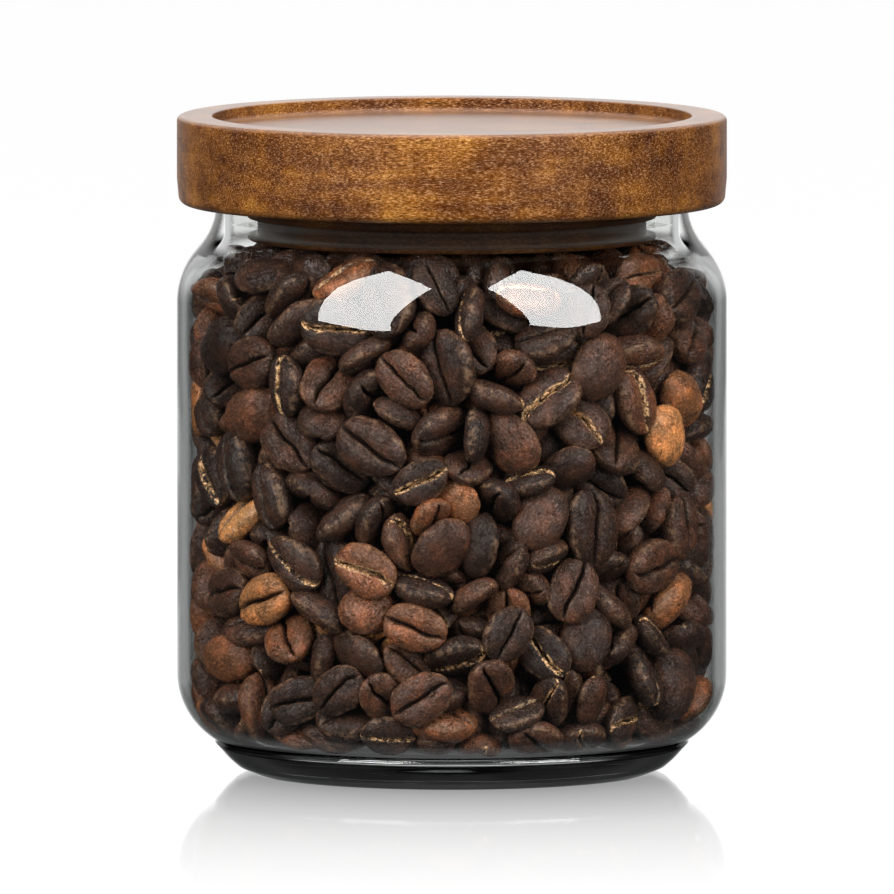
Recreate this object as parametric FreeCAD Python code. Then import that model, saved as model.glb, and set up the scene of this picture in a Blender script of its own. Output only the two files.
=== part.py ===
"""Food canister: a shouldered glass jar, a turned wooden lid with a stacking recess, and the
silicone ring that seals the lid's plug in the neck.

Millimetres, +Z up. The origin is the centre of the jar's contact ring, on the surface it stands
on. Every piece is turned about the Z axis, so each function makes one half outline and revolves it.
"""

import FreeCAD, Part  # noqa: E401
import math
import os

# Driving dimensions
BODY_R = 45.0  # outside of the jar's wall, and of the lid
TOTAL_H = 107.7
LID_T = 14.5  # the lid's disc
PLUG_DEPTH = 5.8  # how far the plug goes down into the neck

# Glass jar
WALL = 1.8
SHOULDER_Z = 77.2  # top of the straight wall, inside and outside
BULGE_R = 13.0  # convex round between the wall and the shoulder's slope
HOLLOW_R = 11.0  # concave round between the slope and the rim
NECK_R = 38.56  # outside, where the hollow is narrowest
NECK_Z = 93.6
BORE_R = 37.2  # straight bore that the plug's ring seals in
BORE_Z = 88.8  # its lower end
INNER_BULGE_R = 10.0
INNER_HOLLOW_R = 3.5
LIP_ROUND = 0.5
RIM_PLAY = 0.15  # between the rim and the lid, which the ring holds up
HEEL_R = 12.5  # round between the wall and the base
FOOT_R = 38.9  # at the mould seam above the foot
SEAM_Z = 5.0
SEAM_H = 0.5
SEAM_DEPTH = 0.35
FOOT_EDGE_R = 36.8  # where the foot starts to turn under
FOOT_EDGE_Z = 2.6
CONTACT_OUTER_R = 32.7
CONTACT_INNER_R = 30.9
PUSH_UP = 1.5  # hollow of the underside
FLOOR_Z = 5.0  # inside floor at its edge
FLOOR_CROWN = 0.6  # how much higher the inside floor is at the middle
INNER_HEEL_R = 9.5

# Wooden lid
LID_TOP_ROUND = 0.9
LID_BOTTOM_ROUND = 1.5
LID_DRAFT = 0.25  # the disc is this much smaller at its bottom
RECESS_R = 39.2  # takes the foot of the canister stacked above
RECESS_DEPTH = 2.2
RECESS_FILLET = 1.0
RECESS_EDGE_ROUND = 0.3
PLUG_R = 33.4
PLUG_EDGE_ROUND = 0.4
GROOVE_R = 31.8
GROOVE_LOW = 0.75  # from the plug's bottom up to the groove
GROOVE_H = 2.9

# Silicone ring
RING_PLAY = 0.05  # clear of the groove's bottom and sides
RING_BODY_R = 33.2
FIN_PLAY = 0.1  # clear of the neck
FIN_ROOT_T = 0.62
FIN_TIP_T = 0.34
FIN_SET_IN = 0.12  # from the ring's end faces to its fins
FIN_RISE = 0.1  # how much a fin climbs towards its tip

LID_Z = TOTAL_H - LID_T  # lid's underside, on the glass rim
PLUG_Z = LID_Z - PLUG_DEPTH
RIM_Z = LID_Z - RIM_PLAY
INNER_R = BODY_R - WALL


def point(r, z):
    return FreeCAD.Vector(r, 0, z)


class Outline:
    """A half outline in the XZ plane, drawn point by point from a start."""

    def __init__(self, r, z):
        self.start = (r, z)
        self.here = (r, z)
        self.edges = []

    def line(self, r, z):
        self.edges.append(Part.LineSegment(point(*self.here), point(r, z)).toShape())
        self.here = (r, z)
        return self

    def arc(self, through, to):
        self.edges.append(Part.Arc(point(*self.here), point(*through), point(*to)).toShape())
        self.here = to
        return self

    def about(self, centre, to):
        """The short arc round a centre."""
        angles = [math.atan2(p[1] - centre[1], p[0] - centre[0]) for p in (self.here, to)]
        turn = (angles[1] - angles[0] + math.pi) % (2 * math.pi) - math.pi
        radius = math.dist(self.here, centre)
        middle = angles[0] + turn / 2
        through = (centre[0] + radius * math.cos(middle), centre[1] + radius * math.sin(middle))
        return self.arc(through, to)

    def turned(self):
        self.line(*self.start)
        face = Part.Face(Part.Wire(self.edges))
        return face.revolve(point(0, 0), FreeCAD.Vector(0, 0, 1), 360)


def dome_radius(edge_r, rise):
    return (edge_r**2 + rise**2) / (2 * rise)


def shoulder(wall_r, bulge, neck_r, neck_z, hollow):
    """The S-shaped shoulder: the centres of its bulge and its hollow, and the two ends of the
    straight slope that touches both rounds."""
    low = (wall_r - bulge, SHOULDER_Z)
    high = (neck_r + hollow, neck_z)
    along = math.atan2(high[1] - low[1], high[0] - low[0])
    facing = along - math.acos((bulge + hollow) / math.dist(low, high))
    outward = (math.cos(facing), math.sin(facing))
    start = (low[0] + bulge * outward[0], low[1] + bulge * outward[1])
    end = (high[0] - hollow * outward[0], high[1] - hollow * outward[1])
    return low, high, start, end


def draw_underside(jar):
    jar.about((0, PUSH_UP - dome_radius(CONTACT_INNER_R, PUSH_UP)), (CONTACT_INNER_R, 0))
    jar.line(CONTACT_OUTER_R, 0)
    jar.arc((FOOT_EDGE_R - 1.6, 1.15), (FOOT_EDGE_R, FOOT_EDGE_Z))
    jar.line(FOOT_R - 0.1, SEAM_Z - 0.1)
    jar.line(FOOT_R - SEAM_DEPTH, SEAM_Z)
    jar.line(FOOT_R - SEAM_DEPTH, SEAM_Z + SEAM_H * 0.6)
    jar.line(FOOT_R, SEAM_Z + SEAM_H)
    drop = math.sqrt(HEEL_R**2 - (FOOT_R - BODY_R + HEEL_R) ** 2)
    heel = (BODY_R - HEEL_R, SEAM_Z + SEAM_H + drop)
    jar.about(heel, (BODY_R, heel[1]))


def draw_outside(jar):
    low, high, start, end = shoulder(BODY_R, BULGE_R, NECK_R, NECK_Z, HOLLOW_R)
    jar.line(BODY_R, SHOULDER_Z)
    jar.about(low, start)
    jar.line(*end)
    lip_z = RIM_Z - LIP_ROUND
    lip_r = high[0] - math.sqrt(HOLLOW_R**2 - (high[1] - lip_z) ** 2)
    jar.about(high, (lip_r, lip_z))
    jar.about((lip_r - LIP_ROUND, lip_z), (lip_r - LIP_ROUND, RIM_Z))


def draw_inside(jar):
    low, high, start, end = shoulder(INNER_R, INNER_BULGE_R, BORE_R, BORE_Z, INNER_HOLLOW_R)
    jar.line(BORE_R + LIP_ROUND, RIM_Z)
    jar.about((BORE_R + LIP_ROUND, RIM_Z - LIP_ROUND), (BORE_R, RIM_Z - LIP_ROUND))
    jar.line(BORE_R, BORE_Z)
    jar.about(high, end)
    jar.line(*start)
    jar.about(low, (INNER_R, SHOULDER_Z))
    heel = (INNER_R - INNER_HEEL_R, FLOOR_Z + INNER_HEEL_R)
    jar.line(INNER_R, heel[1])
    jar.about(heel, (heel[0], FLOOR_Z))
    top_z = FLOOR_Z + FLOOR_CROWN
    jar.about((0, top_z - dome_radius(heel[0], FLOOR_CROWN)), (0, top_z))


def glass_jar():
    jar = Outline(0, PUSH_UP)
    draw_underside(jar)
    draw_outside(jar)
    draw_inside(jar)
    return jar.turned()


def wooden_lid():
    floor_z = TOTAL_H - RECESS_DEPTH
    groove_z = PLUG_Z + GROOVE_LOW
    bottom_r = BODY_R - LID_DRAFT
    lid = Outline(0, PLUG_Z)
    lid.line(PLUG_R - PLUG_EDGE_ROUND, PLUG_Z)
    lid.about((PLUG_R - PLUG_EDGE_ROUND, PLUG_Z + PLUG_EDGE_ROUND), (PLUG_R, PLUG_Z + PLUG_EDGE_ROUND))
    lid.line(PLUG_R, groove_z)
    lid.line(GROOVE_R, groove_z)
    lid.line(GROOVE_R, groove_z + GROOVE_H)
    lid.line(PLUG_R, groove_z + GROOVE_H)
    lid.line(PLUG_R, LID_Z)
    lid.line(bottom_r - LID_BOTTOM_ROUND, LID_Z)
    lid.about(
        (bottom_r - LID_BOTTOM_ROUND, LID_Z + LID_BOTTOM_ROUND), (bottom_r, LID_Z + LID_BOTTOM_ROUND)
    )
    lid.line(BODY_R, LID_Z + LID_T * 0.3)
    lid.line(BODY_R, TOTAL_H - LID_TOP_ROUND)
    lid.about((BODY_R - LID_TOP_ROUND, TOTAL_H - LID_TOP_ROUND), (BODY_R - LID_TOP_ROUND, TOTAL_H))
    lid.line(RECESS_R + RECESS_EDGE_ROUND, TOTAL_H)
    lid.about(
        (RECESS_R + RECESS_EDGE_ROUND, TOTAL_H - RECESS_EDGE_ROUND), (RECESS_R, TOTAL_H - RECESS_EDGE_ROUND)
    )
    lid.line(RECESS_R, floor_z + RECESS_FILLET)
    lid.about((RECESS_R - RECESS_FILLET, floor_z + RECESS_FILLET), (RECESS_R - RECESS_FILLET, floor_z))
    lid.line(0, floor_z)
    return lid.turned()


def add_fin(ring, root_top, root_low, tip_r):
    """One thin lip that tapers and climbs a little towards its round tip."""
    spare = (FIN_ROOT_T - FIN_TIP_T) / 2
    tip = FIN_TIP_T / 2
    ring.line(RING_BODY_R, root_low)
    ring.line(tip_r - tip, root_low + spare + FIN_RISE)
    ring.arc((tip_r, root_low + spare + FIN_RISE + tip), (tip_r - tip, root_top - spare + FIN_RISE))
    ring.line(RING_BODY_R, root_top)


def seal_ring():
    low = PLUG_Z + GROOVE_LOW + RING_PLAY
    high = low + GROOVE_H - 2 * RING_PLAY
    inner = GROOVE_R + 2 * RING_PLAY
    tip_r = BORE_R - FIN_PLAY
    ring = Outline(inner, low)
    ring.line(RING_BODY_R, low)
    add_fin(ring, low + FIN_SET_IN + FIN_ROOT_T, low + FIN_SET_IN, tip_r)
    add_fin(ring, high - FIN_SET_IN, high - FIN_SET_IN - FIN_ROOT_T, tip_r)
    ring.line(RING_BODY_R, high)
    ring.line(inner, high)
    return ring.turned()


os.makedirs("parts", exist_ok=True)
for make in (glass_jar, wooden_lid, seal_ring):
    solid = make()
    solid.exportStep(f"parts/{make.__name__}.step")
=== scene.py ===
"""Looks of the food canister: the glass jar, the wooden lid, the silicone ring and the coffee
beans it holds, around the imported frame. Metres, in the frame's own axes."""

import math

import bmesh
import bpy
import numpy as np
from mathutils import Matrix, Vector


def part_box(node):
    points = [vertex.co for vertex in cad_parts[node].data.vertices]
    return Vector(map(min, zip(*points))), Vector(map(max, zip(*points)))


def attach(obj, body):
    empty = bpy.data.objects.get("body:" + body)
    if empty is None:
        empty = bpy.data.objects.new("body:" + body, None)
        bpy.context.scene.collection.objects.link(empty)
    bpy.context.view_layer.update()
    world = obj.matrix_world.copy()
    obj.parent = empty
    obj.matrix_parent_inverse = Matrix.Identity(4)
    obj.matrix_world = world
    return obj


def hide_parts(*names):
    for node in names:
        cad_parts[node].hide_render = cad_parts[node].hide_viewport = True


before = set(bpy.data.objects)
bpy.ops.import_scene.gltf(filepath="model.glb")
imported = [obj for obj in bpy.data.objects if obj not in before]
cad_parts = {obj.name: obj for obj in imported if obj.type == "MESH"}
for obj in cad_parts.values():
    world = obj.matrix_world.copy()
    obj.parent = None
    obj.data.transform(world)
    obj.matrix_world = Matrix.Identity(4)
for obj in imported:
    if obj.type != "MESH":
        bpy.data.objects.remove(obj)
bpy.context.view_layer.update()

MM = 0.001
SEED = 11

# Sizes read from the frame
JAR_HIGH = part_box("glass_jar")[1]
LID_LOW, LID_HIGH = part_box("wooden_lid")
RING_LOW, RING_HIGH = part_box("seal_ring")
BODY_R = JAR_HIGH.x
RIM_Z = JAR_HIGH.z
LID_TOP = LID_HIGH.z
PLUG_Z = LID_LOW.z
RING_R = RING_HIGH.x

# Glass jar, as in the design
WALL = 1.8 * MM
SHOULDER_Z = 77.2 * MM
BULGE_R, HOLLOW_R = 13.0 * MM, 11.0 * MM
NECK_R, NECK_Z = 38.56 * MM, 93.6 * MM
BORE_R, BORE_Z = 37.2 * MM, 88.8 * MM
INNER_BULGE_R, INNER_HOLLOW_R = 10.0 * MM, 3.5 * MM
LIP_ROUND = 0.5 * MM
HEEL_R = 12.5 * MM
FOOT_R, SEAM_Z, SEAM_H, SEAM_DEPTH = 38.9 * MM, 5.0 * MM, 0.5 * MM, 0.35 * MM
FOOT_EDGE_R, FOOT_EDGE_Z = 36.8 * MM, 2.6 * MM
CONTACT_OUTER_R, CONTACT_INNER_R = 32.7 * MM, 30.9 * MM
PUSH_UP = 1.5 * MM
FLOOR_Z, FLOOR_CROWN = 5.0 * MM, 0.6 * MM
INNER_HEEL_R = 9.5 * MM
INNER_R = BODY_R - WALL

# Wooden lid
LID_T = 14.5 * MM
LID_Z = LID_TOP - LID_T
RECESS_R, RECESS_DEPTH = 39.2 * MM, 2.2 * MM
RECESS_FILLET, RECESS_EDGE = 1.0 * MM, 0.3 * MM
LID_TOP_ROUND, LID_BOTTOM_ROUND, LID_DRAFT = 0.9 * MM, 1.5 * MM, 0.25 * MM
PLUG_R, PLUG_EDGE = 33.4 * MM, 0.4 * MM
GROOVE_R, GROOVE_LOW, GROOVE_H = 31.8 * MM, 0.75 * MM, 2.9 * MM

# Silicone ring
RING_PLAY, RING_BAND = 0.05 * MM, 1.4 * MM
FIN_ROOT_T, FIN_TIP_T, FIN_SET_IN, FIN_RISE = 0.62 * MM, 0.34 * MM, 0.12 * MM, 0.1 * MM

SEGMENTS, RING_SEGMENTS = 192, 160  # round a turned piece

# ---------------------------------------------------------------- turned pieces


class Outline:
    """A half outline in the XZ plane as points, with rounds cut into short steps."""

    def __init__(self, r, z):
        self.points = [(r, z)]

    def line(self, r, z, parts=1):
        r0, z0 = self.points[-1]
        for k in range(1, parts + 1):
            t = k / parts
            self.points.append((r0 + (r - r0) * t, z0 + (z - z0) * t))
        return self

    def about(self, centre, to, parts=8):
        """The short arc round a centre."""
        here = self.points[-1]
        a, b = [math.atan2(p[1] - centre[1], p[0] - centre[0]) for p in (here, to)]
        turn = (b - a + math.pi) % (2 * math.pi) - math.pi
        radius = math.dist(here, centre)
        for k in range(1, parts + 1):
            angle = a + turn * k / parts
            self.points.append((centre[0] + radius * math.cos(angle), centre[1] + radius * math.sin(angle)))
        return self


def turned_mesh(name, points, segments, closed=False):
    """Revolves an outline about the Z axis. Its ends lie on the axis, unless it is closed."""
    count = len(points)
    vertices, rings = [], []
    for r, z in points:
        if r < 1e-7 and not closed:
            rings.append([len(vertices)] * segments)
            vertices.append((0.0, 0.0, z))
            continue
        ring = []
        for k in range(segments):
            angle = 2 * math.pi * k / segments
            ring.append(len(vertices))
            vertices.append((r * math.cos(angle), r * math.sin(angle), z))
        rings.append(ring)
    faces = []
    for i in range(count if closed else count - 1):
        low, high = rings[i], rings[(i + 1) % count]
        for k in range(segments):
            n = (k + 1) % segments
            face = [low[k], low[n], high[n], high[k]]
            face = [v for j, v in enumerate(face) if v != face[j - 1]]
            faces.append(face)
    mesh = bpy.data.meshes.new(name)
    mesh.from_pydata(vertices, [], faces)
    mesh.validate()
    mesh.polygons.foreach_set("use_smooth", [True] * len(mesh.polygons))
    mesh.update()
    return mesh


def add_piece(name, mesh, body, material, *nodes):
    """Adds a mesh as a piece that rides on a body and takes the place of these CAD nodes."""
    piece = bpy.data.objects.new(name, mesh)
    bpy.context.scene.collection.objects.link(piece)
    mesh.materials.append(material)
    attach(piece, body)
    if nodes:
        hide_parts(*nodes)
    return piece


def dome_radius(edge_r, rise):
    """The radius of the ball that a shallow dome is cut from."""
    return (edge_r**2 + rise**2) / (2 * rise)


def shoulder(wall_r, bulge, neck_r, neck_z, hollow):
    """An S from wall to neck: the centres of its two arcs, and the ends of the line between them."""
    low = (wall_r - bulge, SHOULDER_Z)
    high = (neck_r + hollow, neck_z)
    along = math.atan2(high[1] - low[1], high[0] - low[0])
    facing = along - math.acos((bulge + hollow) / math.dist(low, high))
    outward = (math.cos(facing), math.sin(facing))
    start = (low[0] + bulge * outward[0], low[1] + bulge * outward[1])
    end = (high[0] - hollow * outward[0], high[1] - hollow * outward[1])
    return low, high, start, end


def jar_outline():
    jar = Outline(0, PUSH_UP)
    jar.about((0, PUSH_UP - dome_radius(CONTACT_INNER_R, PUSH_UP)), (CONTACT_INNER_R, 0), 14)
    jar.line(CONTACT_OUTER_R, 0, 2)
    jar.line(FOOT_EDGE_R - 1.6 * MM, 1.15 * MM, 3)
    jar.line(FOOT_EDGE_R, FOOT_EDGE_Z, 2)
    jar.line(FOOT_R - 0.1 * MM, SEAM_Z - 0.1 * MM, 3)
    jar.line(FOOT_R - SEAM_DEPTH, SEAM_Z)
    jar.line(FOOT_R - SEAM_DEPTH, SEAM_Z + SEAM_H * 0.6)
    jar.line(FOOT_R, SEAM_Z + SEAM_H)
    drop = math.sqrt(HEEL_R**2 - (FOOT_R - BODY_R + HEEL_R) ** 2)
    heel = (BODY_R - HEEL_R, SEAM_Z + SEAM_H + drop)
    jar.about(heel, (BODY_R, heel[1]), 14)
    jar.line(BODY_R, SHOULDER_Z, 12)
    low, high, start, end = shoulder(BODY_R, BULGE_R, NECK_R, NECK_Z, HOLLOW_R)
    jar.about(low, start, 12)
    jar.line(*end)
    lip_z = RIM_Z - LIP_ROUND
    lip_r = high[0] - math.sqrt(HOLLOW_R**2 - (high[1] - lip_z) ** 2)
    jar.about(high, (lip_r, lip_z), 10)
    jar.about((lip_r - LIP_ROUND, lip_z), (lip_r - LIP_ROUND, RIM_Z), 5)
    jar.line(BORE_R + LIP_ROUND, RIM_Z)
    jar.about((BORE_R + LIP_ROUND, lip_z), (BORE_R, lip_z), 5)
    low, high, start, end = shoulder(INNER_R, INNER_BULGE_R, BORE_R, BORE_Z, INNER_HOLLOW_R)
    jar.line(BORE_R, BORE_Z, 3)
    jar.about(high, end, 6)
    jar.line(*start, 2)
    jar.about(low, (INNER_R, SHOULDER_Z), 10)
    heel = (INNER_R - INNER_HEEL_R, FLOOR_Z + INNER_HEEL_R)
    jar.line(INNER_R, heel[1], 12)
    jar.about(heel, (heel[0], FLOOR_Z), 12)
    top_z = FLOOR_Z + FLOOR_CROWN
    jar.about((0, top_z - dome_radius(heel[0], FLOOR_CROWN)), (0, top_z), 14)
    return jar.points


def lid_outline():
    floor_z = LID_TOP - RECESS_DEPTH
    groove_z = PLUG_Z + GROOVE_LOW
    bottom_r = BODY_R - LID_DRAFT
    lid = Outline(0, PLUG_Z)
    lid.line(PLUG_R - PLUG_EDGE, PLUG_Z, 12)
    lid.about((PLUG_R - PLUG_EDGE, PLUG_Z + PLUG_EDGE), (PLUG_R, PLUG_Z + PLUG_EDGE), 4)
    lid.line(PLUG_R, groove_z)
    lid.line(GROOVE_R, groove_z, 2)
    lid.line(GROOVE_R, groove_z + GROOVE_H, 2)
    lid.line(PLUG_R, groove_z + GROOVE_H, 2)
    lid.line(PLUG_R, LID_Z, 2)
    lid.line(bottom_r - LID_BOTTOM_ROUND, LID_Z, 6)
    corner = (bottom_r - LID_BOTTOM_ROUND, LID_Z + LID_BOTTOM_ROUND)
    lid.about(corner, (bottom_r, LID_Z + LID_BOTTOM_ROUND), 8)
    lid.line(BODY_R, LID_Z + LID_T * 0.3, 3)
    lid.line(BODY_R, LID_TOP - LID_TOP_ROUND, 6)
    lid.about((BODY_R - LID_TOP_ROUND, LID_TOP - LID_TOP_ROUND), (BODY_R - LID_TOP_ROUND, LID_TOP), 7)
    lid.line(RECESS_R + RECESS_EDGE, LID_TOP, 4)
    lid.about((RECESS_R + RECESS_EDGE, LID_TOP - RECESS_EDGE), (RECESS_R, LID_TOP - RECESS_EDGE), 4)
    lid.line(RECESS_R, floor_z + RECESS_FILLET, 2)
    lid.about((RECESS_R - RECESS_FILLET, floor_z + RECESS_FILLET), (RECESS_R - RECESS_FILLET, floor_z), 6)
    lid.line(0, floor_z, 16)
    return lid.points


def ring_outline():
    """The silicone ring's section, closed: a band in the plug's groove and two fins."""
    inner, band = GROOVE_R + RING_PLAY, GROOVE_R + RING_BAND
    low, high = RING_LOW.z, RING_HIGH.z
    ring = [(inner, low), (band, low)]
    drop, edge_r = (FIN_ROOT_T - FIN_TIP_T) / 2, RING_R - FIN_TIP_T / 2
    for root in (low + FIN_SET_IN, high - FIN_SET_IN - FIN_ROOT_T):
        ring.append((band, root))
        ring.append((edge_r, root + drop + FIN_RISE))
        ring.append((RING_R, root + FIN_ROOT_T / 2 + FIN_RISE))
        ring.append((edge_r, root + FIN_ROOT_T - drop + FIN_RISE))
        ring.append((band, root + FIN_ROOT_T))
    ring += [(band, high), (inner, high)]
    return ring


# ---------------------------------------------------------------- materials


class Nodes:
    """A short way to write a material's node tree."""

    def __init__(self, name):
        self.material = bpy.data.materials.new(name)
        self.material.use_nodes = True
        self.tree = self.material.node_tree
        self.shader = self.tree.nodes["Principled BSDF"]
        self.output = self.tree.nodes["Material Output"].inputs["Surface"]

    def add(self, kind, settings=None, **inputs):
        node = self.tree.nodes.new(kind)
        for key, value in (settings or {}).items():
            setattr(node, key, value)
        for key, value in inputs.items():
            self.put(node.inputs[key.replace("_", " ")], value)
        return node

    def put(self, socket, value):
        if isinstance(value, bpy.types.NodeSocket):
            self.tree.links.new(value, socket)
        else:
            socket.default_value = value

    def set(self, **inputs):
        for key, value in inputs.items():
            self.put(self.shader.inputs[key.replace("_", " ")], value)

    def attribute(self, name, output="Fac"):
        return self.add("ShaderNodeAttribute", {"attribute_name": name}).outputs[output]

    def place(self):
        return self.add("ShaderNodeTexCoord").outputs["Object"]

    def scaled(self, vector, x, y, z):
        """The vector with each axis measured in steps of its own, per metre."""
        return self.add("ShaderNodeMapping", Vector=vector, Scale=(x, y, z)).outputs[0]

    def noise(self, vector, scale, detail=2.0, roughness=0.5, distortion=0.0):
        inputs = {"Vector": vector, "Scale": scale, "Detail": detail, "Roughness": roughness}
        return self.add("ShaderNodeTexNoise", None, Distortion=distortion, **inputs).outputs["Fac"]

    def math(self, operation, first, second=0.5, clamp=False):
        node = self.add("ShaderNodeMath", {"operation": operation, "use_clamp": clamp})
        self.put(node.inputs[0], first)
        self.put(node.inputs[1], second)
        return node.outputs[0]

    def spread(self, value, low, high, to_low=0.0, to_high=1.0):
        inputs = {"Value": value, "From Min": low, "From Max": high, "To Min": to_low, "To Max": to_high}
        node = self.add("ShaderNodeMapRange", {"interpolation_type": "SMOOTHSTEP"})
        for key, held in inputs.items():
            self.put(node.inputs[key], held)
        return node.outputs[0]

    def mix(self, factor, first, second, blend="MIX"):
        node = self.add("ShaderNodeMix", {"data_type": "RGBA", "blend_type": blend})
        self.put(node.inputs["Factor"], factor)
        for socket, colour in ((node.inputs[6], first), (node.inputs[7], second)):
            self.put(socket, colour if isinstance(colour, bpy.types.NodeSocket) else (*colour, 1))
        return node.outputs[2]

    def ramp(self, value, *stops):
        node = self.add("ShaderNodeValToRGB", None, Fac=value)
        elements = node.color_ramp.elements
        while len(elements) < len(stops):
            elements.new(0.5)
        for element, (place, colour) in zip(elements, stops):
            element.position = place
            element.color = (*colour, 1)
        return node.outputs["Color"]

    def bump(self, height, strength, distance, normal=None):
        node = self.add("ShaderNodeBump", None, Height=height, Strength=strength, Distance=distance)
        if normal is not None:
            self.put(node.inputs["Normal"], normal)
        return node.outputs[0]


GLASS_TINT, LONG_WAY_TINT = (0.985, 0.99, 0.987), (0.46, 0.475, 0.47)
GLASS_PASSES = (0.95, 0.955, 0.95)  # what one surface lets through of a lamp's light
# from face on (0) to edge on (1): where the way through the wall grows long, and its outermost rim
WALL_LONG, WALL_RIM = (0.6, 0.76), (0.82, 0.92)
NECK_SHADE = (85.5 * MM, 87.5 * MM)  # above this the glass lies round the plug
NECK_FACING = (0.7, 0.82)  # and bends light only where it is seen this much edge on


def clear_glass():
    """Clear glass that lamps shine straight through. Round the plug its front doesn't bend light,
    because so thick a neck would show slivers of the bright room between plug and beans."""
    glass = Nodes("clear_glass")
    ripple = glass.noise(glass.scaled(glass.place(), 1.0, 1.0, 0.6), 45, 1.0)
    normal = glass.bump(ripple, 0.25, 0.0006)
    height = glass.add("ShaderNodeSeparateXYZ", None, Vector=glass.place()).outputs["Z"]
    facing = glass.add("ShaderNodeLayerWeight", None, Blend=0.5).outputs["Facing"]
    # darker where one looks along the wall, and more so than real clear glass, for grey edges
    along = glass.spread(facing, *WALL_LONG)
    along = glass.math("MULTIPLY", along, glass.spread(facing, *WALL_RIM, 1.0, 0.55))
    along = glass.math("MULTIPLY", along, glass.spread(height, SHOULDER_Z, SHOULDER_Z + 5 * MM, 1.0, 0.0))
    tint = glass.mix(along, GLASS_TINT, LONG_WAY_TINT)
    thick = glass.add("ShaderNodeBsdfGlass", None, Color=tint, Roughness=0.0, IOR=1.5, Normal=normal)
    thin = glass.add("ShaderNodeBsdfTransparent", None, Color=tint)
    unbent = glass.spread(height, *NECK_SHADE)
    unbent = glass.math("MULTIPLY", unbent, glass.spread(facing, *NECK_FACING, 1.0, 0.0))
    seen = glass.add("ShaderNodeMixShader", None, Fac=unbent)
    glass.put(seen.inputs[1], thick.outputs[0])
    glass.put(seen.inputs[2], thin.outputs[0])
    clear = glass.add("ShaderNodeBsdfTransparent", None, Color=(*GLASS_PASSES, 1))
    path = glass.add("ShaderNodeLightPath").outputs
    lit = glass.math("MAXIMUM", path["Is Shadow Ray"], path["Is Diffuse Ray"])
    mix = glass.add("ShaderNodeMixShader", None, Fac=lit)
    glass.put(mix.inputs[1], seen.outputs[0])
    glass.put(mix.inputs[2], clear.outputs[0])
    glass.put(glass.output, mix.outputs[0])
    return glass.material


def silicone():
    """Clear soft rubber: thin lips that show what is behind them, a little milky edge on."""
    ring = Nodes("silicone")
    ring.set(Base_Color=(0.80, 0.81, 0.80, 1), Roughness=0.3, IOR=1.41)
    mist = ring.noise(ring.place(), 900, 2.0)
    ring.set(Normal=ring.bump(mist, 0.2, 0.00008))
    clear = ring.add("ShaderNodeBsdfTransparent", None, Color=(0.9, 0.9, 0.89, 1))
    facing = ring.add("ShaderNodeLayerWeight", None, Blend=0.5).outputs["Facing"]
    mix = ring.add("ShaderNodeMixShader", None, Fac=ring.spread(facing, 0.3, 1.0, 0.006, 0.1))
    ring.put(mix.inputs[1], clear.outputs[0])
    ring.put(mix.inputs[2], ring.shader.outputs[0])
    ring.put(ring.output, mix.outputs[0])
    return ring.material


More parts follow.
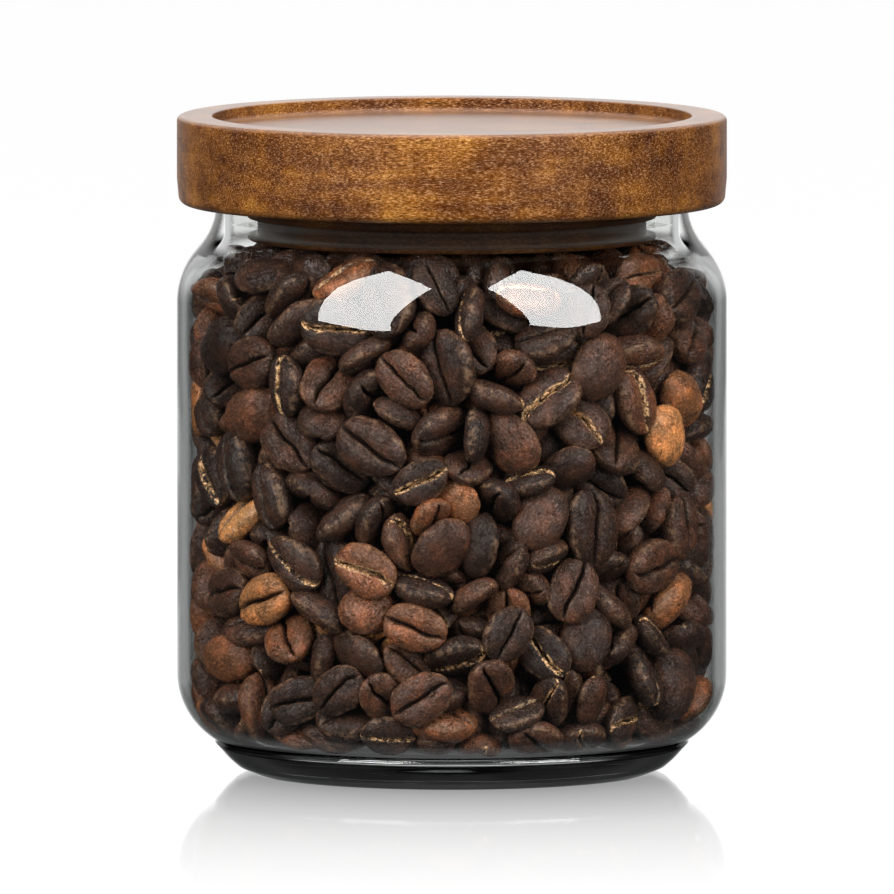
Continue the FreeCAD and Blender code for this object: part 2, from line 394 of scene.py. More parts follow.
def oiled_wood():
    """A brown hardwood, its kind guessed: grain along X, short open pores, golden and dark figure."""
    wood = Nodes("oiled_wood")
    place = wood.place()
    drift = wood.noise(wood.scaled(place, 0.25, 1, 1), 55, 2.0)
    # growth rings: how far a point lies from the heart of the tree, which was below and behind
    shifted = wood.add("ShaderNodeMapping", Vector=place, Location=(0, -0.012, 0.055), Scale=(0.06, 1, 1))
    depth = wood.add("ShaderNodeVectorMath", {"operation": "LENGTH"})
    wood.put(depth.inputs[0], shifted.outputs[0])
    rings = wood.math("MULTIPLY", depth.outputs["Value"], 190)
    rings = wood.math("ADD", rings, wood.math("MULTIPLY", drift, 4.0))
    bands = wood.spread(wood.math("PINGPONG", rings, 0.5), 0.0, 0.5)
    streaks = wood.noise(wood.scaled(place, 0.08, 1, 1), 700, 3.0, 0.6)
    flame = wood.noise(wood.scaled(place, 1.0, 0.35, 0.22), 230, 1.5, 0.5, 0.4)
    patches = wood.noise(wood.scaled(place, 0.7, 1, 1), 75, 2.0, 0.5, 0.5)
    figure = wood.math("ADD", wood.math("MULTIPLY", bands, 0.06), wood.math("MULTIPLY", streaks, 0.27))
    figure = wood.math("ADD", figure, wood.math("MULTIPLY", patches, 0.45))
    figure = wood.math("ADD", figure, wood.math("MULTIPLY", flame, 0.26))
    colour = wood.ramp(
        figure,
        (0.38, (0.042, 0.0105, 0.0018)),
        (0.45, (0.073, 0.0215, 0.0030)),
        (0.51, (0.104, 0.034, 0.0045)),
        (0.58, (0.155, 0.055, 0.0068)),
        (0.68, (0.245, 0.102, 0.0140)),
    )
    specks = wood.noise(wood.scaled(place, 0.4, 1, 1.6), 3400, 3.0, 0.8)
    # painted highlight: pale specks stand in for glints of the gloss
    painted_glints = wood.mix(0.34, wood.mix(1.0, colour, (1.9, 2.1, 2.4), "MULTIPLY"), (0.50, 0.32, 0.20))
    colour = wood.mix(wood.spread(specks, 0.52, 0.64, 0.0, 1.0), colour, painted_glints)
    shades = wood.mix(1.0, colour, (0.36, 0.22, 0.10), "MULTIPLY")
    colour = wood.mix(wood.spread(specks, 0.5, 0.38, 0.0, 1.0), colour, shades)
    pores = wood.noise(wood.scaled(place, 0.10, 1, 1), 2600, 1.0, 0.5)
    pore = wood.spread(pores, 0.34, 0.26)
    colour = wood.mix(wood.math("MULTIPLY", pore, 0.7), colour, (0.035, 0.012, 0.004))
    normal = wood.add("ShaderNodeSeparateXYZ", None, Vector=wood.add("ShaderNodeTexCoord").outputs["Normal"])
    upward = wood.spread(normal.outputs["Z"], 0.3, 0.9)
    # chosen to look like the photo: a painted sheen makes faces that look up paler, and painted shade makes
    # the plug under the lid darker
    colour = wood.mix(wood.math("MULTIPLY", upward, 0.2), colour, (0.56, 0.38, 0.29))
    low = wood.add("ShaderNodeSeparateXYZ", None, Vector=place).outputs["Z"]
    colour = wood.mix(wood.spread(low, LID_Z - 0.5 * MM, LID_Z, 0.75, 0.0), colour, (0.012, 0.005, 0.003))
    rough = wood.spread(specks, 0.3, 0.7, 0.34, 0.5)
    height = wood.math("SUBTRACT", wood.math("MULTIPLY", specks, 0.5), pore)
    wood.set(Base_Color=colour, Roughness=rough, Normal=wood.bump(height, 0.35, 0.00008))
    coat = wood.math("MAXIMUM", upward, 0.15)
    wood.set(Specular_IOR_Level=0.2, Coat_Weight=coat, Coat_Roughness=0.3, Coat_IOR=1.5)
    return wood.material


def roasted_bean():
    """Roasted coffee, from nearly black to a few pale beans, by the values stored on the points."""
    bean = Nodes("roasted_bean")
    tone, chaff = bean.attribute("tone"), bean.attribute("chaff")
    crease, edge = bean.attribute("crease"), bean.attribute("edge")
    grain = bean.attribute("grain", "Vector")
    colour = bean.ramp(
        tone,
        (0.0, (0.012, 0.0060, 0.0041)),
        (0.40, (0.023, 0.0110, 0.0070)),
        (0.78, (0.045, 0.0192, 0.0108)),
        (0.93, (0.105, 0.0400, 0.0170)),
        (0.97, (0.200, 0.0850, 0.0310)),
        (1.0, (0.310, 0.1500, 0.0540)),
    )
    blotch = bean.noise(grain, 300, 2.0, 0.55)
    warm = bean.mix(1.0, colour, (2.1, 1.75, 1.5), "MULTIPLY")
    colour = bean.mix(bean.spread(blotch, 0.42, 0.70), colour, warm)
    fine = bean.noise(grain, 2300, 2.5, 0.7)
    pale = bean.mix(1.0, colour, (2.4, 2.2, 2.0), "MULTIPLY")
    colour = bean.mix(bean.spread(fine, 0.52, 0.72, 0.0, 0.9), colour, pale)
    colour = bean.mix(bean.spread(fine, 0.47, 0.30, 0.0, 0.35), colour, (0.008, 0.004, 0.003))
    # long wrinkles, and cracks where they are deepest
    wrinkles = bean.noise(bean.scaled(grain, 0.4, 1, 1), 1300, 3.0, 0.6, 1.2)
    crack = bean.spread(bean.math("ABSOLUTE", bean.math("SUBTRACT", wrinkles, 0.5)), 0.0, 0.035, 1.0, 0.0)
    cracked = bean.math("MULTIPLY", crack, bean.spread(bean.noise(grain, 420, 1.0), 0.46, 0.62))
    # painted shade: the cracks are darkened
    colour = bean.mix(bean.math("MULTIPLY", cracked, 0.8), colour, (0.008, 0.004, 0.003))
    rubbed = bean.spread(bean.noise(grain, 900, 3.0, 0.6), 0.42, 0.66, 0.0, 0.65)
    colour = bean.mix(bean.math("MULTIPLY", edge, rubbed), colour, (0.24, 0.135, 0.075))
    # painted shade: darker down in the crease
    colour = bean.mix(bean.math("MULTIPLY", crease, 0.9), colour, (0.006, 0.003, 0.002))
    torn = bean.spread(bean.noise(bean.scaled(grain, 0.7, 1, 1), 1100, 3.0, 0.7, 0.6), 0.44, 0.56)
    has_chaff = bean.spread(chaff, 0.5, 0.8)
    golden = bean.math("MULTIPLY", bean.math("MULTIPLY", torn, has_chaff), bean.spread(crease, 0.06, 0.34))
    husk = bean.mix(bean.spread(fine, 0.36, 0.62), (0.13, 0.058, 0.022), (0.78, 0.46, 0.22))
    colour = bean.mix(golden, colour, husk)
    height = bean.math("ADD", wrinkles, bean.math("MULTIPLY", fine, 0.4))
    height = bean.math("SUBTRACT", height, bean.math("MULTIPLY", cracked, 0.5))
    rough = bean.spread(fine, 0.3, 0.7, 0.19, 0.33)
    bean.set(Specular_IOR_Level=1.0)
    bean.set(Base_Color=colour, Roughness=rough, Normal=bean.bump(height, 1.0, 0.0003))
    return bean.material


# ---------------------------------------------------------------- coffee beans: how they lie

BEAN_COUNT = 1450
BEAN_A, BEAN_B = 5.3, 4.1  # half length and half width in millimetres, chosen
BALL_R = 2.3  # a bean takes up the room of seven balls laid in an oval
BALLS = [(0, 0, 0), (3.05, 0, 0), (-3.05, 0, 0)]
BALLS = np.array(BALLS + [(x, y, 0) for x in (1.4, -1.4) for y in (1.72, -1.72)], np.float32)
SCATTER_R, SCATTER_Z = 39, (9, 86)  # where bean centres start, in millimetres
SCATTER_APART, SCATTER_BALL, SCATTER_STEPS = 6.9, 3.0, 30
FILL_PLAY = 0.1  # between the plug and the highest beans
FILL_FLAT_R, FILL_DROP, FILL_LEAN = 32, 0.05, 0.7  # further out the fill drops, more so towards +X
PACK_STEPS = 200
START_SCALE = 0.55  # beans start this small, spread out, and grow until they press on each other
GROWN_BY = 0.62  # share of the steps after which they have their full size
REACH, REACH_PLAY, LOOK_EVERY = 11.6, 0.6, 8  # pairs this close are tested, looked up every few steps
PUSH, SINK = 1.5, 0.02  # how much of the pushes on it a bean follows, and how far it sinks, at each step
ARM_SQUARE, MOST_SPIN = 7.6, 0.25  # how hard a bean is to turn, and the most it turns at each step


def turn_vectors(quaternions, vectors):
    """Turns vectors (n, k, 3) by unit quaternions (n, 4), w first."""
    w, u = quaternions[:, None, :1], quaternions[:, None, 1:]
    twice = 2 * np.cross(u, vectors)
    return vectors + w * twice + np.cross(u, twice)


def join_turns(a, b):
    """The quaternions of turning by b first and then by a."""
    aw, av, bw, bv = a[:, :1], a[:, 1:], b[:, :1], b[:, 1:]
    w = aw * bw - (av * bv).sum(1, keepdims=True)
    return np.concatenate([w, aw * bv + bw * av + np.cross(av, bv)], 1)


def unit(vectors):
    return vectors / np.linalg.norm(vectors, axis=1, keepdims=True)


def push_inside(centres, radii):
    """How far each ball has to move, in millimetres, to lie inside the jar and under the fill line."""
    inner, floor, heel = INNER_R / MM, (FLOOR_Z + FLOOR_CROWN * 0.5) / MM, INNER_HEEL_R / MM
    bulge, shoulder_z = INNER_BULGE_R / MM, SHOULDER_Z / MM
    push = np.zeros_like(centres)
    rho = np.hypot(centres[:, 0], centres[:, 1]) + 1e-9
    out = centres[:, :2] / rho[:, None]
    z = centres[:, 2]
    push[:, :2] -= out * np.maximum(rho + radii - inner, 0)[:, None]
    push[:, 2] += np.maximum(floor + radii - z, 0)
    rounds = (
        (heel, inner - heel, floor + heel, z < floor + heel),
        (bulge, inner - bulge, shoulder_z, z > shoulder_z),
    )
    for radius, centre_r, centre_z, beyond in rounds:
        here = np.where(beyond & (rho > centre_r))[0]
        dr, dz = rho[here] - centre_r, z[here] - centre_z
        far = np.hypot(dr, dz) + 1e-9
        deep = np.maximum(far + radii[here] - radius, 0) / far
        push[here, :2] -= out[here] * (deep * dr)[:, None]
        push[here, 2] -= deep * dz
    slope = FILL_DROP * np.maximum(rho - FILL_FLAT_R, 0) * (1 + FILL_LEAN * centres[:, 0] / rho)
    push[:, 2] -= np.maximum(z + radii - (PLUG_Z / MM - FILL_PLAY) + slope, 0)
    return push


def scatter(rng):
    """Bean centres spread evenly through the jar."""
    count = BEAN_COUNT
    angle, rho = rng.uniform(0, 2 * math.pi, count), SCATTER_R * np.sqrt(rng.uniform(0, 1, count))
    spots = np.stack([rho * np.cos(angle), rho * np.sin(angle), rng.uniform(*SCATTER_Z, count)], 1)
    for _ in range(SCATTER_STEPS):
        apart = spots[:, None] - spots[None]
        far = np.sqrt((apart**2).sum(-1)) + np.eye(count) * 1e6
        spots = spots + np.einsum("abc,ab->ac", apart, np.maximum(SCATTER_APART - far, 0) / far * 0.25)
        spots += push_inside(spots, np.full(count, SCATTER_BALL))
    return spots


def lay_beans(rng):
    """Places (mm), turns (quaternions) and sizes of beans that lie on each other and on the glass."""
    count, balls = BEAN_COUNT, len(BALLS)
    spots = scatter(rng)
    turns = unit(rng.normal(size=(count, 4)))
    sizes = np.clip(rng.normal(1.0, 0.1, count), 0.8, 1.2)
    slots = np.arange(balls)
    for step in range(PACK_STEPS):
        grown = min(1.0, START_SCALE + (1 - START_SCALE) * step / (PACK_STEPS * GROWN_BY))
        scale = sizes * grown
        arms = turn_vectors(turns, BALLS[None] * scale[:, None, None])
        centres = (spots[:, None] + arms).astype(np.float32)
        if step % LOOK_EVERY == 0:
            far = ((spots[:, None] - spots[None]) ** 2).sum(-1)
            one, other = np.where(np.triu(far < (REACH * grown + REACH_PLAY) ** 2, 1))
        radii = (BALL_R * scale).astype(np.float32)
        apart = centres[one][:, :, None] - centres[other][:, None]
        far = np.sqrt(np.einsum("abcd,abcd->abc", apart, apart)) + 1e-9
        deep = np.maximum((radii[one] + radii[other])[:, None, None] - far, 0)
        force = apart * (deep / far * 0.5)[..., None]
        one_slots = (one[:, None] * balls + slots).ravel()
        other_slots = (other[:, None] * balls + slots).ravel()
        pushes = np.zeros((count * balls, 3))
        for axis in range(3):
            pushes[:, axis] += np.bincount(one_slots, force[..., axis].sum(2).ravel(), count * balls)
            pushes[:, axis] -= np.bincount(other_slots, force[..., axis].sum(1).ravel(), count * balls)
        touches = (deep > 0).sum((1, 2))
        contacts = np.bincount(one, touches, count) + np.bincount(other, touches, count)
        walls = push_inside(centres.reshape(-1, 3).astype(float), np.repeat(radii, balls))
        pushes = (pushes + walls).reshape(count, balls, 3)
        contacts = np.maximum(contacts + (np.abs(walls).sum(1) > 0).reshape(count, balls).sum(1), 1)[:, None]
        spots += PUSH * pushes.sum(1) / contacts
        spots[:, 2] -= SINK
        spin = PUSH * np.cross(arms, pushes).sum(1) / (contacts * ARM_SQUARE * scale[:, None] ** 2)
        spin *= np.minimum(1, MOST_SPIN / np.maximum(np.linalg.norm(spin, axis=1, keepdims=True), 1e-9))
        turns = unit(join_turns(np.concatenate([np.ones((count, 1)), spin / 2], 1), turns))
    return spots, turns, sizes


# ---------------------------------------------------------------- coffee beans: their shape

# how far out from the crease, as shares of the half width, the points of the creased side lie
SIDE_STEPS = (0.012, 0.026, 0.042, 0.065, 0.1, 0.16, 0.25, 0.37, 0.52, 0.68, 0.82, 0.92, 0.98)
FINE = (22, 13, 1)  # rows along the bean, points over its back, and every how many side steps
PLAIN = (8, 7, 3)  # the same for beans that are hidden inside


def bean_form(rng, rows, dome, skip):
    """One bean in its own frame, in millimetres: length along X, creased side towards -Z.
    Returns its points, its quads, its end triangles and, per point, how near it is to the
    crease and to the edges that rub pale."""
    half_l, half_w = BEAN_A * rng.uniform(0.93, 1.05), BEAN_B * rng.uniform(0.92, 1.05)
    high, low = rng.uniform(2.5, 3.0), rng.uniform(1.55, 1.95)
    bow, lean = rng.uniform(-0.9, 0.9), rng.uniform(-0.16, 0.16)
    crease_deep, crease_wide = rng.uniform(0.9, 1.6), rng.uniform(0.14, 0.27)
    lip_deep, lip_wide = rng.uniform(0.3, 0.8), rng.uniform(0.5, 0.9)
    roll, egg, bend = rng.uniform(-0.13, 0.13), rng.uniform(-0.12, 0.12), rng.uniform(-0.25, 0.35)
    twist = rng.uniform(-0.16, 0.16)
    along = np.sin(np.linspace(-math.pi / 2, math.pi / 2, rows + 2)[1:-1] * 0.985)
    steps = np.array(SIDE_STEPS[skip // 2 :: skip])
    arch = np.linspace(0, math.pi, dome)
    knots = rng.normal(0, 0.16, 9)
    rings, creases, edges = [], [], []
    for t in along:
        width = half_w * (1 + egg * t) * (1 - abs(t) ** 2.3) ** 0.5
        thin = (1 - abs(t) ** 2.6) ** 0.5
        wander = np.interp(t, np.linspace(-1, 1, 9), knots)
        middle = bow * math.sin(2.2 * t) + lean * width * t + wander
        middle = float(np.clip(middle, -0.5 * width, 0.5 * width))
        left = middle + (-width - middle) * steps[::-1]
        right = middle + (width - middle) * steps
        y = np.concatenate([width * np.cos(arch), left, [middle], right])
        off = y[dome:] - middle
        v = np.abs(y[dome:] / width)
        plump = 1 + 0.1 * np.exp(-((v - 0.5) ** 2) / 0.06)
        fade = 1 - 0.75 * abs(t) ** 5
        slit = np.exp(-((off / crease_wide) ** 2))
        flat = -low * thin * (1 - v**3.4) ** 0.5 * plump
        flat += thin * fade * (crease_deep * slit + lip_deep * np.exp(-np.abs(off) / lip_wide))
        flat += thin * fade * roll * np.tanh(off / 0.2)
        z = np.concatenate([high * thin * np.sin(arch) ** 0.9, np.minimum(flat, high * thin * 0.3)])
        turn = twist * t
        x = np.full(len(y), half_l * t)
        cos, sin = math.cos(turn), math.sin(turn)
        rings.append(np.stack([x, y * cos - z * sin, z * cos + y * sin], 1))
        near = np.exp(-((off / (crease_wide * 2.0)) ** 2))
        creases.append(np.concatenate([np.zeros(dome), near * fade]))
        lip = np.exp(-(((np.abs(off) - 0.42) / 0.14) ** 2)) * 0.7
        rim = np.exp(-(((v - 0.95) / 0.05) ** 2))
        edges.append(np.concatenate([np.zeros(dome), np.maximum(lip, rim)]))
        edges[-1][[0, dome - 1]] = 0.5
    ring = len(rings[0])
    points = np.concatenate([[(-half_l, 0, 0.1)], np.concatenate(rings), [(half_l, 0, 0.1)]])
    crease = np.concatenate([[0.3], np.concatenate(creases), [0.3]])
    edge = np.concatenate([[0], np.concatenate(edges), [0]])
    points[:, 2] += bend * ((points[:, 0] / half_l) ** 2 - 0.4)
    lumps = np.zeros(len(points))
    for _ in range(10):
        wave = rng.normal(0, 0.85, 3)
        lumps += np.sin(points @ wave + rng.uniform(0, 6.28)) * 0.03
    for _ in range(10 if skip == 1 else 0):
        wave = rng.normal(0, 1.0, 3) * np.array((1.2, 3.6, 3.6))
        lumps += np.sin(points @ wave + rng.uniform(0, 6.28)) * 0.012
    points *= (1 + lumps / 3.5)[:, None]
    here = 1 + np.arange(ring)
    following = 1 + (np.arange(ring) + 1) % ring
    start = ring * np.arange(rows - 1)[:, None]
    quads = np.stack([here + start, following + start, following + start + ring, here + start + ring], -1)
    end = len(points) - 1
    last = ring * (rows - 1)
    first_cap = np.stack([np.zeros(ring, int), following, here], 1)
    last_cap = np.stack([np.full(ring, end), here + last, following + last], 1)
    return points, quads.reshape(-1, 4), np.concatenate([first_cap, last_cap]), crease, edge


def show_creases(rng, spots, turns):
    """Rolls some of the beans whose creased side faces the middle of the jar half a turn over."""
    creased = turn_vectors(turns, np.tile([[[0.0, 0.0, -1.0]]], (len(turns), 1, 1)))[:, 0]
    inward = (creased[:, :2] * spots[:, :2]).sum(1) < 0
    rolled = join_turns(turns, np.tile([[0.0, 1.0, 0.0, 0.0]], (len(turns), 1)))
    return np.where((inward & (rng.uniform(size=len(turns)) < ROLLED_SHARE))[:, None], rolled, turns)


def clear_of_jar(points, spots, turns, sizes):
    """Shifts each bean inward until its own outline, not just its balls, is clear of the jar."""
    for k, form in enumerate(points):
        placed = turn_vectors(turns[k][None], form[None] * sizes[k])[0]
        for _ in range(4):
            push = push_inside(placed + spots[k], np.full(len(placed), TOUCH_PLAY))
            most = push[np.argmax((push**2).sum(1))]
            if not most.any():
                break
            spots[k] += most
    return spots


def beans_mesh(name, chosen, spots, turns, sizes, tones, chaffs, forms):
    """One mesh of many beans, with the values that their material reads stored on its points."""
    parts = {key: [] for key in ("co", "crease", "edge", "tone", "chaff", "grain", "quads", "tris")}
    start = 0
    for k in chosen:
        points, quads, tris, crease, edge = forms[k]
        scaled = points * sizes[k]
        parts["co"].append((turn_vectors(turns[k][None], scaled[None])[0] + spots[k]) * MM)
        parts["grain"].append(points * MM + spots[k] * GRAIN_SHIFT)
        parts["crease"].append(crease)
        parts["edge"].append(edge)
        parts["tone"].append(np.full(len(points), tones[k]))
        parts["chaff"].append(np.full(len(points), chaffs[k]))
        parts["quads"].append(quads + start)
        parts["tris"].append(tris + start)
        start += len(points)
    flat = {key: np.concatenate(values) for key, values in parts.items()}
    corners = np.concatenate([flat["quads"].ravel(), flat["tris"].ravel()])
    quad_starts = 4 * np.arange(len(flat["quads"]))
    tri_starts = 4 * len(flat["quads"]) + 3 * np.arange(len(flat["tris"]))
    mesh = bpy.data.meshes.new(name)
    mesh.vertices.add(start)
    mesh.vertices.foreach_set("co", flat["co"].astype(np.float32).ravel())
    mesh.loops.add(len(corners))
    mesh.loops.foreach_set("vertex_index", corners.astype(np.int32))
    starts = np.concatenate([quad_starts, tri_starts]).astype(np.int32)
    mesh.polygons.add(len(starts))
    mesh.polygons.foreach_set("loop_start", starts)
    mesh.update(calc_edges=True)
    for key in ("crease", "edge", "tone", "chaff"):
        mesh.attributes.new(key, "FLOAT", "POINT").data.foreach_set("value", flat[key].astype(np.float32))
    grain = mesh.attributes.new("grain", "FLOAT_VECTOR", "POINT")
    grain.data.foreach_set("vector", flat["grain"].astype(np.float32).ravel())
    mesh.polygons.foreach_set("use_smooth", [True] * len(mesh.polygons))
    return mesh


FORM_COUNT, FORM_SEED = 12, 100
GRAIN_SHIFT = 0.01  # moves each bean to its own stretch of the surface patterns
ROLLED_SHARE = 0.6
TOUCH_PLAY = 0.08  # between a bean and the glass, in millimetres
NEAR_GLASS = 10.5  # beans whose middle is this close to the glass are fine ones
LOW_LAYER, TOP_LAYER = 12, 76  # and so are those below and above these heights
BANDS = 14  # pieces from the lowest beans to the highest


def make_beans(material):
    rng = np.random.default_rng(SEED)
    spots, turns, sizes = lay_beans(rng)
    kinds = rng.integers(0, FORM_COUNT, BEAN_COUNT)
    tones, chaffs = rng.uniform(0, 1, BEAN_COUNT), rng.uniform(0, 1, BEAN_COUNT)
    turns = show_creases(rng, spots, turns)
    rho = np.hypot(spots[:, 0], spots[:, 1])
    near = (rho > INNER_R / MM - NEAR_GLASS) | (spots[:, 2] < LOW_LAYER) | (spots[:, 2] > TOP_LAYER)
    fine = [bean_form(np.random.default_rng(FORM_SEED + k), *FINE) for k in range(FORM_COUNT)]
    plain = [bean_form(np.random.default_rng(FORM_SEED + k), *PLAIN) for k in range(FORM_COUNT)]
    forms = [(fine if close else plain)[kind] for close, kind in zip(near, kinds)]
    spots = clear_of_jar([form[0] for form in forms], spots, turns, sizes)
    order = np.argsort(spots[:, 2])
    for k, chosen in enumerate(np.array_split(order, BANDS)):
        name = f"coffee_beans_{k + 1}"
        mesh = beans_mesh(name, chosen, spots, turns, sizes, tones, chaffs, forms)
        add_piece(name, mesh, "jar", material)


# ---------------------------------------------------------------- stage, camera and lights

CAMERA_PITCH, CAMERA_FAR = math.radians(4.9), 4.5
FRAME_WIDTH = 0.1464  # what the picture spans at the canister
AIM = Vector((-0.0008, 0, 0.0532))


def set_camera():
    data = bpy.data.cameras.new("camera")
    data.lens = data.sensor_width * CAMERA_FAR / FRAME_WIDTH
    data.clip_start, data.clip_end = 0.5, 30
    camera = bpy.data.objects.new("camera", data)
    bpy.context.scene.collection.objects.link(camera)
    camera.location = AIM + CAMERA_FAR * Vector((0, -math.cos(CAMERA_PITCH), math.sin(CAMERA_PITCH)))
    camera.rotation_euler = (AIM - camera.location).to_track_quat("-Z", "Y").to_euler()
    bpy.context.scene.camera = camera


def shine_on(light, pieces, state):
    """Keeps a light to these pieces (INCLUDE), or to all but these (EXCLUDE)."""
    group = bpy.data.collections.new(light.name)
    light.light_linking.receiver_collection = group
    for piece in pieces:
        group.objects.link(piece)
    for member in group.collection_objects:
        member.light_linking.link_state = state


def softbox(name, low, high, width, azimuth, radiance):
    """A panel that leans over the canister: low and high are (distance, height) of its edges."""
    (d0, z0), (d1, z1) = low, high
    data = bpy.data.lights.new(name, "AREA")
    data.shape = "RECTANGLE"
    data.size, data.size_y = width, math.hypot(d1 - d0, z1 - z0)
    data.energy = radiance * data.size * data.size_y * math.pi
    light = bpy.data.objects.new(name, data)
    bpy.context.scene.collection.objects.link(light)
    out = Vector((math.sin(azimuth), -math.cos(azimuth), 0))
    bottom, top = out * d0 + Vector((0, 0, z0)), out * d1 + Vector((0, 0, z1))
    upward = (top - bottom).normalized()
    sideways = Vector((math.cos(azimuth), math.sin(azimuth), 0))
    light.location = (bottom + top) / 2
    # a lamp shines along its own -Z, so its Z points away from the canister
    light.rotation_euler = Matrix((sideways, upward, sideways.cross(upward))).transposed().to_euler()
    return light


def mirrored_card(name, side):
    """A glowing card that only shows in gloss: corners by azimuth and height angle, in degrees."""
    mesh = bpy.data.meshes.new(name)
    corners = []
    for azimuth, height in CARD_CORNERS:
        a, h = math.radians(side * azimuth + CARD_TURN), math.radians(height)
        toward = Vector((math.sin(a) * math.cos(h), -math.cos(a) * math.cos(h), math.sin(h)))
        corners.append(Vector((0, 0, SHOULDER_Z)) + CARD_FAR * toward)
    mesh.from_pydata(corners, [], [tuple(range(len(corners)))])
    card = bpy.data.objects.new(name, mesh)
    bpy.context.scene.collection.objects.link(card)
    card.visible_camera = card.visible_diffuse = card.visible_transmission = card.visible_shadow = False
    glow = Nodes(name)
    glow.material.cycles.emission_sampling = "NONE"
    glow.put(glow.output, glow.add("ShaderNodeEmission", None, Color=(1, 1, 1, 1), Strength=CARD).outputs[0])
    mesh.materials.append(glow.material)
    return card


def set_world():
    """White to the camera and a little soft light; gloss and glass see a dark room with a white sheet."""
    world = bpy.data.worlds.new("studio")
    bpy.context.scene.world = world
    world.use_nodes = True
    nodes, links = world.node_tree.nodes, world.node_tree.links

    def maths(operation, *values):
        node = nodes.new("ShaderNodeMath")
        node.operation = operation
        for socket, value in zip(node.inputs, values):
            if isinstance(value, bpy.types.NodeSocket):
                links.new(value, socket)
            else:
                socket.default_value = value
        return node.outputs[0]

    place = nodes.new("ShaderNodeTexCoord")
    axes = nodes.new("ShaderNodeSeparateXYZ")
    links.new(place.outputs["Generated"], axes.inputs[0])

    def fades(value, low, high, to_low, to_high):
        spread = nodes.new("ShaderNodeMapRange")
        spread.interpolation_type = "SMOOTHSTEP"
        links.new(value, spread.inputs["Value"])
        for key, held in (("From Min", low), ("From Max", high), ("To Min", to_low), ("To Max", to_high)):
            spread.inputs[key].default_value = held
        return spread.outputs[0]

    aside = maths("ABSOLUTE", axes.outputs["X"])
    beside = fades(aside, *SHEET_MIDDLE, 1.0, SHEET_DIM)
    beside = maths("MULTIPLY", beside, fades(aside, *SHEET_SIDE, 1.0, 0.0))
    above = fades(axes.outputs["Z"], *SHEET_TOP, 1.0, 0.0)
    below = fades(axes.outputs["Z"], *SHEET_FOOT, TABLE_DIM, 1.0)
    behind = fades(axes.outputs["Y"], 0.0, 0.1, 0.0, 1.0)
    sheet = maths("MULTIPLY", maths("MULTIPLY", beside, behind), maths("MULTIPLY", above, below))
    seen = maths("ADD", sheet, fades(axes.outputs["Z"], -0.5, -0.2, TABLE_DARK, ROOM_DARK))
    path = nodes.new("ShaderNodeLightPath").outputs
    soft = maths("MULTIPLY", path["Is Diffuse Ray"], ROOM_FILL)
    around = maths("ADD", maths("MULTIPLY", seen, maths("SUBTRACT", 1.0, path["Is Diffuse Ray"])), soft)
    links.new(maths("MAXIMUM", path["Is Camera Ray"], around), nodes["Background"].inputs["Strength"])
    nodes["Background"].inputs["Color"].default_value = (1, 1, 1, 1)


def floor_material(name):
    """Bright acrylic: white by itself, and a mirror at low angles that fades away from the foot."""
    floor = Nodes(name)
    white = floor.add("ShaderNodeEmission", None, Color=(1, 1, 1, 1), Strength=FLOOR_GLOW)
    matt = floor.add("ShaderNodeBsdfDiffuse", None, Color=(0.04, 0.04, 0.04, 1))
    body = floor.add("ShaderNodeAddShader")
    floor.put(body.inputs[0], white.outputs[0])
    floor.put(body.inputs[1], matt.outputs[0])
    shine = floor.add("ShaderNodeBsdfGlossy", None, Color=(1, 1, 1, 1), Roughness=0.045)
    away = floor.add("ShaderNodeVectorMath", {"operation": "LENGTH"})
    floor.put(away.inputs[0], floor.place())
    beyond = floor.math("SUBTRACT", away.outputs["Value"], MIRROR_FROM)
    fade = floor.math("EXPONENT", floor.math("MULTIPLY", beyond, -1 / MIRROR_FADE), 0.0, clamp=True)
    low_angle = floor.add("ShaderNodeFresnel", None, IOR=1.5).outputs[0]
    share = floor.math("MULTIPLY", floor.math("MULTIPLY", fade, low_angle), MIRROR)
    mix = floor.add("ShaderNodeMixShader", None, Fac=share)
    floor.put(mix.inputs[1], body.outputs[0])
    floor.put(mix.inputs[2], shine.outputs[0])
    floor.put(floor.output, mix.outputs[0])
    return floor.material


def add_floor():
    mesh = bpy.data.meshes.new("floor")
    shape = bmesh.new()
    bmesh.ops.create_circle(shape, cap_ends=True, segments=96, radius=12)
    shape.to_mesh(mesh)
    shape.free()
    floor = bpy.data.objects.new("floor", mesh)
    bpy.context.scene.collection.objects.link(floor)
    floor.visible_glossy = floor.visible_transmission = floor.visible_diffuse = False
    mesh.materials.append(floor_material("floor"))
    return floor


ROOM_DARK, TABLE_DARK = 0.012, 0.035  # the room, as gloss and glass see it: around and below
# the white sheet behind, by direction along X: its bright middle, the dimmer rest and its ends
SHEET_MIDDLE, SHEET_DIM, SHEET_SIDE = (0.12, 0.22), 0.6, (0.44, 0.56)
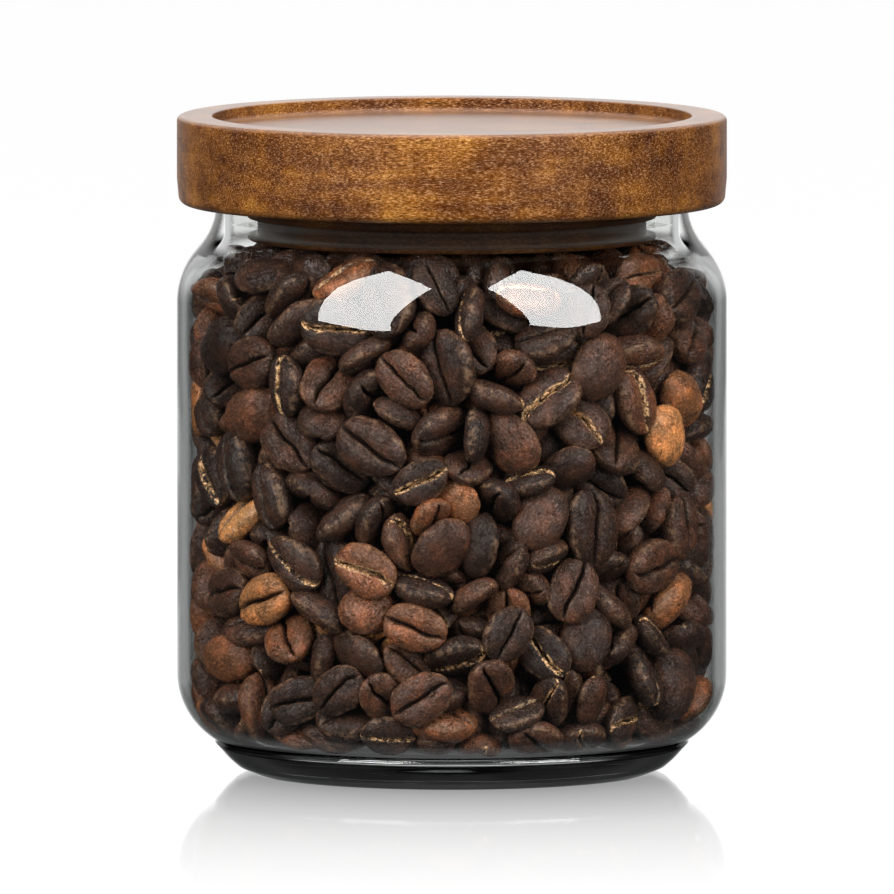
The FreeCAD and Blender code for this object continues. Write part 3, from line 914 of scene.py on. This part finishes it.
# and along Z: its top, and where the dimmer table takes over
SHEET_TOP, SHEET_FOOT, TABLE_DIM = (0.3, 0.5), (-0.24, -0.12), 0.22
ROOM_FILL = 0.06  # the light that the whole room gives
BOX_EDGES, BOX_WIDTH, BOX_AZIMUTH = ((1.0, 0.03), (0.48, 1.0)), 0.6, math.radians(42)
SOFTBOX, WOOD_BOX, BACK_BOX = 9.6, 7.8, 2.5  # how bright the boxes are
CARD, CARD_FAR, CARD_TURN = 16.5, 1.2, 3.5  # the boxes as the glass mirrors them
CARD_CORNERS = (60, -3.2), (59, 38), (53, 66), (13.5, 44), (29, -3.2)
FLOOR_GLOW = 0.98
MIRROR, MIRROR_FROM, MIRROR_FADE = 1.2, 0.033, 0.075  # the floor's mirror fades from the foot outward

scene = bpy.context.scene
scene.view_settings.view_transform = "Standard"
scene.cycles.caustics_refractive = False
scene.cycles.caustics_reflective = False
scene.cycles.transparent_max_bounces = 24
scene.cycles.max_bounces = 16
scene.cycles.transmission_bounces = 14
scene.cycles.sample_clamp_indirect = 4
set_camera()
set_world()
floor = add_floor()

jar_mesh = turned_mesh("blown_jar", jar_outline(), SEGMENTS)
lid_mesh = turned_mesh("turned_lid", lid_outline(), SEGMENTS)
ring_mesh = turned_mesh("finned_ring", ring_outline(), RING_SEGMENTS, closed=True)
jar = add_piece("blown_jar", jar_mesh, "jar", clear_glass(), "glass_jar")
lid = add_piece("turned_lid", lid_mesh, "lid", oiled_wood(), "wooden_lid")
add_piece("finned_ring", ring_mesh, "seal", silicone(), "seal_ring")
make_beans(roasted_bean())

for side, name in ((-1, "left"), (1, "right")):
    azimuth = side * BOX_AZIMUTH
    shine_on(softbox(f"{name}_box", *BOX_EDGES, BOX_WIDTH, azimuth, SOFTBOX), [jar, lid], "EXCLUDE")
    # the lid's own box lights it without a mirror image on the flat top
    wood_box = softbox(f"{name}_wood_box", *BOX_EDGES, BOX_WIDTH, azimuth, WOOD_BOX)
    wood_box.visible_glossy = False
    shine_on(wood_box, [lid], "INCLUDE")
    shine_on(mirrored_card(f"{name}_card", side), [jar], "INCLUDE")
    # a weak box behind, so that the canister's back isn't black
    back_box = softbox(f"{name}_back_box", *BOX_EDGES, BOX_WIDTH, math.pi - azimuth, BACK_BOX)
    back_box.visible_glossy = False
    shine_on(back_box, [jar, floor], "EXCLUDE")
